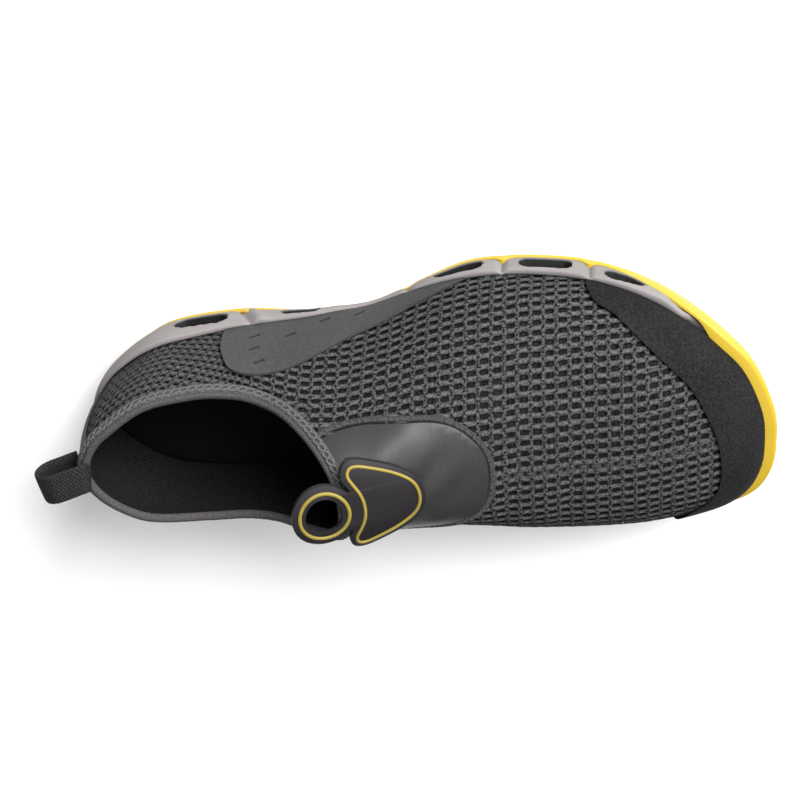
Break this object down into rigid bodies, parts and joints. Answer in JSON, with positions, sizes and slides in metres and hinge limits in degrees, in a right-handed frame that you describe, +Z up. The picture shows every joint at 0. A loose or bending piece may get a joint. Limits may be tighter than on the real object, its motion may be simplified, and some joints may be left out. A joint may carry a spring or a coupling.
{
  "type": "slip-on walking shoe",
  "caption": "Left slip-on walking shoe with a dark grey knitted mesh upper, smooth instep panel, moulded pull tab, heel loop, grey ported midsole and yellow rubber outsole.",
  "frame": {"origin": "on the floor under the centre of the heel, on the flat under side of the heel's tread", "axes": "+X runs forward to the toe, +Y to the little-toe side, +Z up"},
  "size_m": [0.3024, 0.1129, 0.1061],
  "materials": {
    "rubber_yellow": "satin yellow rubber",
    "foam_grey": "warm light grey moulded foam",
    "knit": "open dark grey knitted mesh",
    "stretch": "smooth stretch fabric with a slight sheen",
    "film_black": "matt near-black fused film",
    "film_grey": "matt dark grey fused film",
    "binding": "rolled knitted edge",
    "webbing": "woven tape",
    "tab_rubber": "moulded dark rubber with yellow raised lines",
    "lining": "dark lining cloth"
  },
  "bodies": {
    "root": {"outsole": "rubber_yellow", "midsole": "foam_grey", "insole": "lining", "upper": "knit", "instep_panel": "stretch", "collar_binding": "binding", "toe_cap": "film_black", "side_film_outer": "film_grey", "side_film_inner": "film_grey", "heel_stay": "film_grey", "pull_tab": "tab_rubber", "pull_loop": "webbing"}
  },
  "joints": []
}
